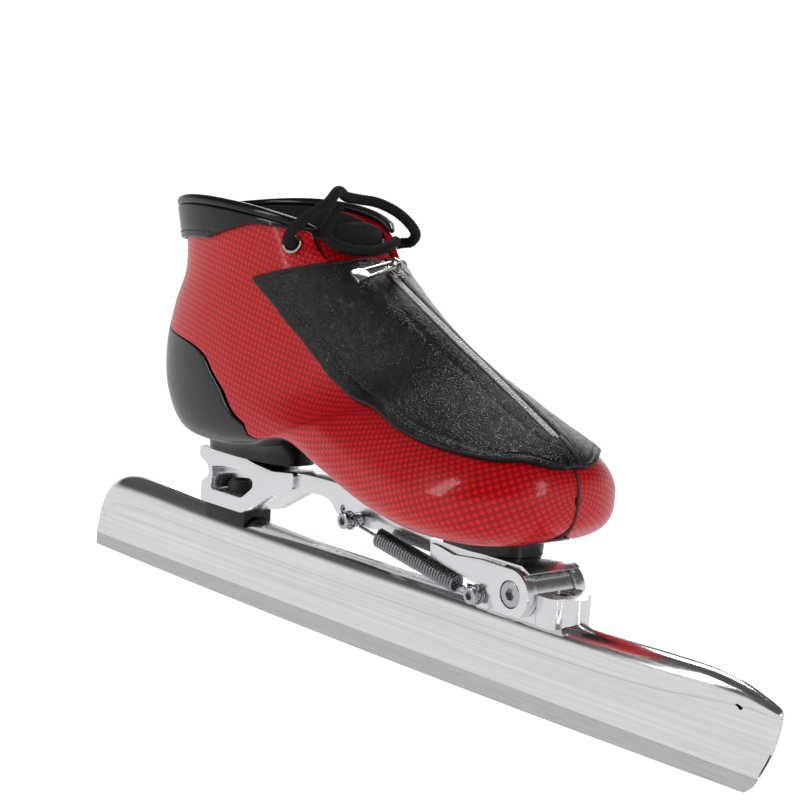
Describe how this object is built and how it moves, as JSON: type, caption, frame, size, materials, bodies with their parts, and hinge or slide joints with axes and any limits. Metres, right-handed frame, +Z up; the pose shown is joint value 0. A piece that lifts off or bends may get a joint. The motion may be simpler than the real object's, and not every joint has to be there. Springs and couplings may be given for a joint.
{
  "type": "clap speed skate",
  "caption": "Long-track clap speed skate: low carbon boot with zipped cover and laces, on a hinged bridge with return spring over a long straight blade.",
  "frame": {"origin": "on the runner's ice edge, in the middle of the blade's length and thickness", "axes": "+X towards the toe along the blade, +Y away from the zip pull's resting side (the boot's outer side), +Z up"},
  "size_m": [0.4271, 0.0921, 0.1931],
  "materials": {
    "red_coated_weave": "clear-coated basket weave",
    "black_carbon": "satin moulded carbon laminate",
    "patent_leather": "mirror-gloss patent",
    "grained_leather": "fine pebble grain, semi-gloss",
    "lining_fabric": "brushed textile",
    "machined_aluminium": "bright machined",
    "polished_tube": "mirror polished",
    "ground_blade_steel": "ground lengthwise",
    "bolt_steel": "turned",
    "nickel_fittings": "nickel plated",
    "bush_bronze": "machined",
    "spring_steel": "drawn wire",
    "black_rubber": "moulded matte",
    "reflective_zip_tape": "silver reflective",
    "woven_lace": "tight flat weave"
  },
  "bodies": {
    "boot": {"bridge": "machined_aluminium", "axle_bolt": "bolt_steel", "axle_nut": "bolt_steel", "heel_bolt": "bolt_steel", "ball_bolt_near": "bolt_steel", "ball_bolt_far": "bolt_steel", "rear_spring_pin": "bolt_steel", "grub_screw": "bolt_steel", "upper_near": "red_coated_weave", "upper_far": "red_coated_weave", "carbon_base": "black_carbon", "heel_mount": "black_carbon", "ball_mount": "black_carbon", "cover_near": "grained_leather", "cover_far": "grained_leather", "zip_chain": "reflective_zip_tape", "collar_band": "patent_leather", "collar_piping": "patent_leather", "heel_gusset": "grained_leather", "ankle_lining": "lining_fabric", "tongue": "red_coated_weave", "tongue_tip": "lining_fabric", "footbed": "lining_fabric", "eyelet_near": "nickel_fittings", "eyelet_far": "nickel_fittings", "lace": "woven_lace", "lace_strand": "woven_lace"},
    "blade": {"runner": "ground_blade_steel", "blade_tube": "polished_tube", "hinge_base": "machined_aluminium", "base_screw_rear": "bolt_steel", "base_screw_front": "bolt_steel", "heel_block": "black_rubber", "heel_block_screw": "bolt_steel", "bush_near": "bush_bronze", "bush_far": "bush_bronze", "front_spring_pin": "bolt_steel"},
    "spring_arm": {"rear_hook": "spring_steel", "spring_coil": "spring_steel"},
    "spring_hook": {"front_hook": "spring_steel"},
    "slider": {"zip_slider": "nickel_fittings"},
    "pull_tab": {"zip_pull": "nickel_fittings"}
  },
  "joints": [
    {"name": "clap_hinge", "type": "hinge", "parent": "boot", "child": "blade", "pos_m": [0.0949, 0, 0.0486], "axis": [0, -1, 0], "range_deg": [0, 40], "stiffness_Nm_per_rad": 2, "springref_deg": -34.38},
    {"name": "spring_swing", "type": "hinge", "parent": "boot", "child": "spring_arm", "pos_m": [-0.0017, -0.0146, 0.0576], "axis": [0, 1, 0], "range_deg": [0, 7]},
    {"name": "spring_stretch", "type": "slide", "parent": "spring_arm", "child": "spring_hook", "axis": [0.9855, 0, -0.1695], "range_m": [0, 0.0092]},
    {"name": "zip_slide", "type": "slide", "parent": "boot", "child": "slider", "axis": [0.905, -0.0476, -0.4227], "range_m": [0, 0.112]},
    {"name": "pull_swing", "type": "hinge", "parent": "slider", "child": "pull_tab", "pos_m": [0.00233, -0.00157, 0.1638], "axis": [-0.905, 0.0476, 0.4227], "range_deg": [0, 200]}
  ],
  "couplings": [
    {"joint": "spring_swing", "follows": "clap_hinge", "ratio": 0.168},
    {"joint": "spring_stretch", "follows": "clap_hinge", "m_per_rad": 0.0127}
  ]
}
